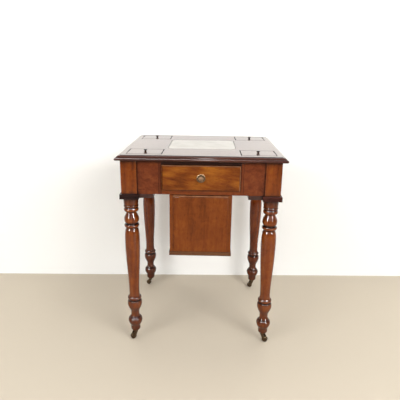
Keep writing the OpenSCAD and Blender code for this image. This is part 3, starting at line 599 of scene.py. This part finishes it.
# The drawer's knob and its small rose are cast and turned brass, gone brown and dull.
# The knob's stem goes through the rose into a hole in the drawer's front.
def old_brass(name, metal, tarnish, share_of_tarnish, rough=(0.3, 0.55)):
    """Brass in two colours, with the tarnish in clouds and thickest in the hollows. rough is
    the roughness of the metal and of the tarnish."""
    material, tree, finish, place = blank(name)
    cloudy = add(
        tree, "ShaderNodeTexNoise",
        {"Vector": place, "Scale": 160, "Detail": 6, "Roughness": 0.65},
    ).outputs["Fac"]
    cover = ramp(tree, cloudy, (0.5 - share_of_tarnish / 2, 1), (0.75 - share_of_tarnish / 3, 0))
    colour = blend(tree, cover, metal, tarnish)
    hollow = share(tree, mark(tree, "hollow"), 0.8)
    colour = blend(tree, hollow, colour, [part * 0.3 for part in tarnish])
    tree.links.new(colour, finish.inputs["Base Color"])
    tree.links.new(ramp(tree, cover, (0, rough[0]), (1, rough[1])), finish.inputs["Roughness"])
    tree.links.new(ramp(tree, cover, (0, 1), (1, 0.75)), finish.inputs["Metallic"])
    pits = add(
        tree, "ShaderNodeTexNoise", {"Vector": place, "Scale": 1100, "Detail": 3}
    ).outputs["Fac"]
    tree.links.new(bumps(tree, pits, 0.3, 0.0001), finish.inputs["Normal"])
    return material


knob_brass = old_brass(
    "knob brass", (0.102, 0.060, 0.034), (0.058, 0.032, 0.018), 0.7, rough=(0.62, 0.78),
)
rose_brass = old_brass("rose brass", (0.15, 0.10, 0.055), (0.055, 0.032, 0.018), 0.8)
piece("brass_knob", bench_copy("drawer_knob", 0), knob_brass, "drawer", "brass", "drawer_knob")
piece(
    "knob_rose", bench_copy("drawer_knob_plate", 0), rose_brass, "drawer", "brass",
    "drawer_knob_plate",
)

# The brads are small brass pins with flat heads, each driven a little askew
pin_sizes = {"count": 5, "pitch": (0.05, 0.0, 0.0), "head": 0.0014, "proud": 0.0003, "seed": 7}
pins, size = start_tree("row of brads", **pin_sizes)
row = add(
    pins, "GeometryNodeMeshLine", {"Count": size["count"], "Offset": size["pitch"]}
).outputs[0]
head = add(
    pins, "GeometryNodeMeshCylinder",
    {"Vertices": 10, "Radius": size["head"], "Depth": size["proud"]},
).outputs["Mesh"]
tilt = add(
    pins, "FunctionNodeRandomValue",
    {0: (-0.05, -0.05, 0.0), 1: (0.05, 0.05, 3.0), "Seed": size["seed"]},
    data_type="FLOAT_VECTOR",
).outputs[0]
driven = add(
    pins, "GeometryNodeInstanceOnPoints", {"Points": row, "Instance": head, "Rotation": tilt}
).outputs[0]


def brads(name, body, start, count, pitch, seed):
    """A row of brad heads that starts at a place and rides on a body."""
    sizes = {**pin_sizes, "count": count, "pitch": pitch, "seed": seed}
    mesh = grow(name, pins, driven, rose_brass, **sizes)
    mesh.transform(Matrix.Translation(start))
    piece(name, mesh, rose_brass, body, "brass")


low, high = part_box("drawer_bottom")
end_margin = 0.02
back_margin = 0.005
drawer_brads = 5
pitch = (high[0] - low[0] - 2 * end_margin) / (drawer_brads - 1)
start = (low[0] + end_margin, high[1] - back_margin, low[2])
brads("drawer_bottom_brads", "drawer", start, drawer_brads, (pitch, 0, 0), seed=7)


# The hanging well is a deep box of mahogany boards, open at the top. Its front is one
# wide board with the grain upright and a bead along its top edge. Its bottom is nailed
# up from below, and its sides hang on two runners under the frieze.
WELL_TONES = ((0.062, 0.013, 0.002), (0.160, 0.037, 0.0045), (0.235, 0.062, 0.008))
well_front_wood = timber(
    "well front mahogany", "Z", (0.12, 0.16, 0.2), WELL_TONES, 0.2, slant=3, figure=0.3,
    streak=0.34, mottle=0.3, pore=0.35, nook=0.006, nook_dark=0.5, arris=HIGHLIGHT_ARRIS,
)
well_wood = timber(
    "well mahogany", "Z", (0.3, -0.05, 0.1), WELL_TONES, 0.2, slant=1, nook=0.006, nook_dark=0.5,
)
BASE_TONES = ((0.045, 0.016, 0.006), (0.115, 0.045, 0.017), (0.17, 0.07, 0.028))
well_base_wood = timber("well base mahogany", "X", (0.1, 0.05, 0.35), BASE_TONES, 0.25)
# Only the bead along the top of the front takes the pale edge colour, a painted highlight along it
WELL_BEAD = 0.0035
_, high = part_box("well_front")
front = mark_faces(bench_copy("well_front", 0.0007), lambda at: at.z > high[2] - WELL_BEAD)
piece("boarded_well_front", front, well_front_wood, "well", "mahogany_gold", "well_front")
for node, wood, slot in (
    ("well_back", well_wood, "mahogany"),
    ("well_side_left", well_wood, "mahogany"), ("well_side_right", well_wood, "mahogany"),
    ("well_bottom", well_base_wood, "mahogany"),
):
    piece("boarded_" + node, bench_copy(node, 0.0007), wood, "well", slot, node)
piece("waxed_well_runners", bench_copy("well_runners", 0.0004), oak, ROOT, "oak", "well_runners")
# The brads go up into the lower edges of the side boards, with their heads almost flush
low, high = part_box("well_bottom")
side_margin = 0.0095
front_margin = 0.012
back_margin = 0.018
well_brads = 7
pitch = (high[1] - low[1] - front_margin - back_margin) / (well_brads - 1)
for name, x in (("left", low[0] + side_margin), ("right", high[0] - side_margin)):
    start = (x, low[1] + front_margin, low[2] + 0.0001)
    brads("well_brads_" + name, "well", start, well_brads, (0, pitch, 0), seed=11)


# Each foot has a brass plate with a sleeve for the caster's stem, held by three slotted
# screws. The fork is cast in one with its stem, and the wheel turns on a riveted axle.
caster_brass = old_brass("caster brass", (0.08, 0.053, 0.030), (0.018, 0.012, 0.009), 0.95)
piece(
    "caster_plate_set", bench_copy("caster_plates", 0), caster_brass, ROOT, "brass",
    "caster_plates",
)
for corner in CORNERS:
    fork, wheel = "caster_fork_" + corner, "caster_wheel_" + corner
    piece("cast_" + fork, bench_copy(fork, 0.0003, 0.003), caster_brass, "swivel_" + corner,
          "brass", fork)
    piece("turned_" + wheel, bench_copy(wheel, 0), caster_brass, "wheel_" + corner,
          "brass", wheel)

# The screws go up into the end grain of the legs, in a ring of three round each stem
low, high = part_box("caster_screws")
plate_low, plate_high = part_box("caster_plates")
PLATE_WIDTH = 0.028
HEAD_T = 0.0012
screw_sizes = {
    "spread_x": plate_high[0] - plate_low[0] - PLATE_WIDTH,
    "spread_y": plate_high[1] - plate_low[1] - PLATE_WIDTH,
    "ring": 0.0108, "head": 0.0024, "shank": 0.0013,
    "length": high[2] - low[2] - 0.0002, "slot": 0.0007, "seed": 3,
}
screws, size = start_tree("slotted screws", **screw_sizes)
feet = add(
    screws, "GeometryNodeMeshGrid",
    {"Size X": size["spread_x"], "Size Y": size["spread_y"], "Vertices X": 2, "Vertices Y": 2},
).outputs["Mesh"]
ring = add(screws, "GeometryNodeMeshCircle", {"Vertices": 3, "Radius": size["ring"]}).outputs[0]
ring = add(
    screws, "GeometryNodeTransform", {"Geometry": ring, "Rotation": (0, 0, math.radians(90))}
).outputs[0]
holes = add(screws, "GeometryNodeInstanceOnPoints", {"Points": feet, "Instance": ring}).outputs[0]
holes = add(screws, "GeometryNodeRealizeInstances", {"Geometry": holes}).outputs[0]
disc = add(
    screws, "GeometryNodeMeshCylinder",
    {"Vertices": 20, "Radius": size["head"], "Depth": HEAD_T},
).outputs["Mesh"]
bar_size = add(
    screws, "ShaderNodeCombineXYZ", {"X": size["slot"], "Y": 0.01, "Z": 0.001}
).outputs[0]
bar = add(screws, "GeometryNodeMeshCube", {"Size": bar_size}).outputs["Mesh"]
bar = add(
    screws, "GeometryNodeTransform", {"Geometry": bar, "Translation": (0, 0, -HEAD_T / 2)}
).outputs[0]
head = add(
    screws, "GeometryNodeMeshBoolean", {"Mesh 1": disc, "Mesh 2": bar},
    operation="DIFFERENCE", solver="EXACT",
).outputs[0]
rod = add(
    screws, "GeometryNodeMeshCone",
    {"Vertices": 12, "Radius Top": 0.0004, "Radius Bottom": size["shank"],
     "Depth": size["length"]},
).outputs["Mesh"]
whole = add(screws, "GeometryNodeJoinGeometry").outputs[0]
for part in (head, rod):
    screws.links.new(part, whole.node.inputs[0])
turned = add(
    screws, "FunctionNodeRandomValue", {0: (0, 0, 0), 1: (0, 0, 3.1), "Seed": size["seed"]},
    data_type="FLOAT_VECTOR",
).outputs[0]
fixed = add(
    screws, "GeometryNodeInstanceOnPoints",
    {"Points": holes, "Instance": whole, "Rotation": turned},
).outputs[0]
mesh = grow("screws", screws, fixed, rose_brass, **screw_sizes)
mesh.transform(Matrix.Translation((0, 0, low[2] + HEAD_T / 2)))
piece("slotted_caster_screws", mesh, rose_brass, ROOT, "brass", "caster_screws")


# The floor and wall are plain and pale. The wall stands close behind the table, turned by a hair
# from it. It glows with painted light, more so above the top, throws no shadow, and is seen from
# the front only.
WALL_Y = 0.322
WALL_SLANT = 0.033
STAGE_HALF = 6
WALL_HEIGHT = 5


def plain(name, colour, roughness, glow=None, one_sided=False):
    """A matt colour. glow gives two heights in metres and how strongly it glows at each."""
    material, tree, finish, place = blank(name)
    finish.inputs["Base Color"].default_value = (*colour, 1)
    finish.inputs["Roughness"].default_value = roughness
    finish.inputs["Specular IOR Level"].default_value = 0.2
    if glow:
        height = add(tree, "ShaderNodeSeparateXYZ", {"Vector": place}).outputs["Z"]
        finish.inputs["Emission Color"].default_value = (1, 0.985, 0.95, 1)
        tree.links.new(ramp(tree, height, *glow), finish.inputs["Emission Strength"])
    if one_sided:
        clear = add(tree, "ShaderNodeBsdfTransparent")
        behind = add(tree, "ShaderNodeNewGeometry").outputs["Backfacing"]
        swap = add(
            tree, "ShaderNodeMixShader",
            {0: behind, 1: finish.outputs["BSDF"], 2: clear.outputs["BSDF"]},
        )
        output = next(node for node in tree.nodes if node.type == "OUTPUT_MATERIAL")
        tree.links.new(swap.outputs["Shader"], output.inputs["Surface"])
    return material


def sheet_of(name, corners, material):
    """A flat four-cornered part of the stage."""
    mesh = bpy.data.meshes.new(name)
    mesh.from_pydata(corners, [], [(0, 1, 2, 3)])
    mesh.materials.append(material)
    thing = bpy.data.objects.new(name, mesh)
    bpy.context.scene.collection.objects.link(thing)
    return thing


AROUND = ((-1, -1), (1, -1), (1, 1), (-1, 1))
sheet_of(
    "floor", [(x * STAGE_HALF, y * STAGE_HALF, 0) for x, y in AROUND],
    plain("pale floor", (0.55, 0.483, 0.385), 0.6),
)
left, right = [(x, WALL_Y + WALL_SLANT * x) for x in (-STAGE_HALF, STAGE_HALF)]
wall = sheet_of(
    "wall",
    [(*left, 0), (*right, 0), (*right, WALL_HEIGHT), (*left, WALL_HEIGHT)],
    plain("white wall", (0.80, 0.80, 0.78), 0.9, ((0.55, 0.17), (0.9, 0.64)), one_sided=True),
)
wall.visible_shadow = False


# The light is soft and plain. Four wide panels, at the left and the right and above them,
# light the surfaces, with a faint even surround. Three upright strips and a high one only
# show in the polish, as the narrow lines of light on the turned legs.
WORLD_LEVEL = 0.06
WORLD_SEEN = 0.85
world = bpy.data.worlds.new("surround")
world.use_nodes = True
around = world.node_tree.nodes["Background"]
around.inputs["Color"].default_value = (1, 0.99, 0.97, 1)
seen = add(world.node_tree, "ShaderNodeLightPath").outputs["Is Camera Ray"]
level = add(
    world.node_tree, "ShaderNodeMapRange",
    {"Value": seen, "To Min": WORLD_LEVEL, "To Max": WORLD_SEEN},
)
world.node_tree.links.new(level.outputs[0], around.inputs["Strength"])
bpy.context.scene.world = world

# The flat tops take no part in that, and mirror the pale wall alone
flat_tops = bpy.data.collections.new("flat tops")
for thing in bpy.context.scene.objects:
    if thing.name.startswith(("jointed_top", "leather_panel", "loose_lid")):
        flat_tops.objects.link(thing)


AIMED_AT = Vector((0, 0, 0.5))


def softbox(name, azimuth, elevation, distance, size, power, for_gloss=False):
    """A panel of light, size metres wide and high, aimed at the table's middle.

    Its azimuth is counted from the front to +X. A panel for_gloss only shows in the polish,
    but not in that of the flat tops, and the others only light the surfaces."""
    lamp = bpy.data.lights.new(name, "AREA")
    lamp.shape = "RECTANGLE"
    lamp.size, lamp.size_y = size
    lamp.energy = power
    thing = bpy.data.objects.new(name, lamp)
    thing.visible_glossy = for_gloss
    thing.visible_diffuse = not for_gloss
    if for_gloss:
        thing.light_linking.receiver_collection = flat_tops
    bpy.context.scene.collection.objects.link(thing)
    bearing, climb = math.radians(azimuth), math.radians(elevation)
    out = Vector(
        (math.sin(bearing) * math.cos(climb), -math.cos(bearing) * math.cos(climb),
         math.sin(climb))
    )
    thing.location = AIMED_AT + out * distance
    thing.rotation_mode = "QUATERNION"
    thing.rotation_quaternion = (-out).to_track_quat("-Z", "Y")


STRIP_DISTANCE = 3.0
SOFT_DISTANCE = 3.2
for name, azimuth, power in (("left", -42, 255), ("front", 0, 13), ("right", 42, 290)):
    softbox(
        name + "_strip_light", azimuth, 25, STRIP_DISTANCE, (0.14, 2.4), power, for_gloss=True
    )
softbox("high_strip_light", 0, 58, STRIP_DISTANCE, (4.0, 0.3), 150, for_gloss=True)
for name, azimuth, elevation, power in (
    ("left", -40, 24, 50), ("right", 36, 25, 74),
    ("top_left", -65, 62, 14), ("top_right", 60, 62, 26),
):
    softbox(name + "_soft_light", azimuth, elevation, SOFT_DISTANCE, (1.8, 1.4), power)
for member in flat_tops.collection_objects:
    member.light_linking.link_state = "EXCLUDE"


# The camera stands a metre up and 1.6 m in front of the table's middle. It is tipped down,
# and turned a hair to the left and about its own axis.
CAMERA_PLACE = (0.0239, -1.5869, 0.9944)
lens = bpy.data.cameras.new("camera")
lens.sensor_width = 36
lens.lens = 36.61
lens.clip_start = 0.05
lens.clip_end = 50
camera = bpy.data.objects.new("camera", lens)
bpy.context.scene.collection.objects.link(camera)
YAW, PITCH, ROLL = (math.radians(angle) for angle in (-1.112, 17.112, 0.75))
ahead = Vector(
    (math.sin(YAW) * math.cos(PITCH), math.cos(YAW) * math.cos(PITCH), -math.sin(PITCH))
)
level = Vector((math.cos(YAW), -math.sin(YAW), 0))
upright = level.cross(ahead)
right = level * math.cos(ROLL) + upright * math.sin(ROLL)
up = upright * math.cos(ROLL) - level * math.sin(ROLL)
turn = Matrix((right, up, -ahead)).transposed()
camera.matrix_world = Matrix.Translation(CAMERA_PLACE) @ turn.to_4x4()
bpy.context.scene.camera = camera
bpy.context.scene.view_settings.view_transform = "Standard"
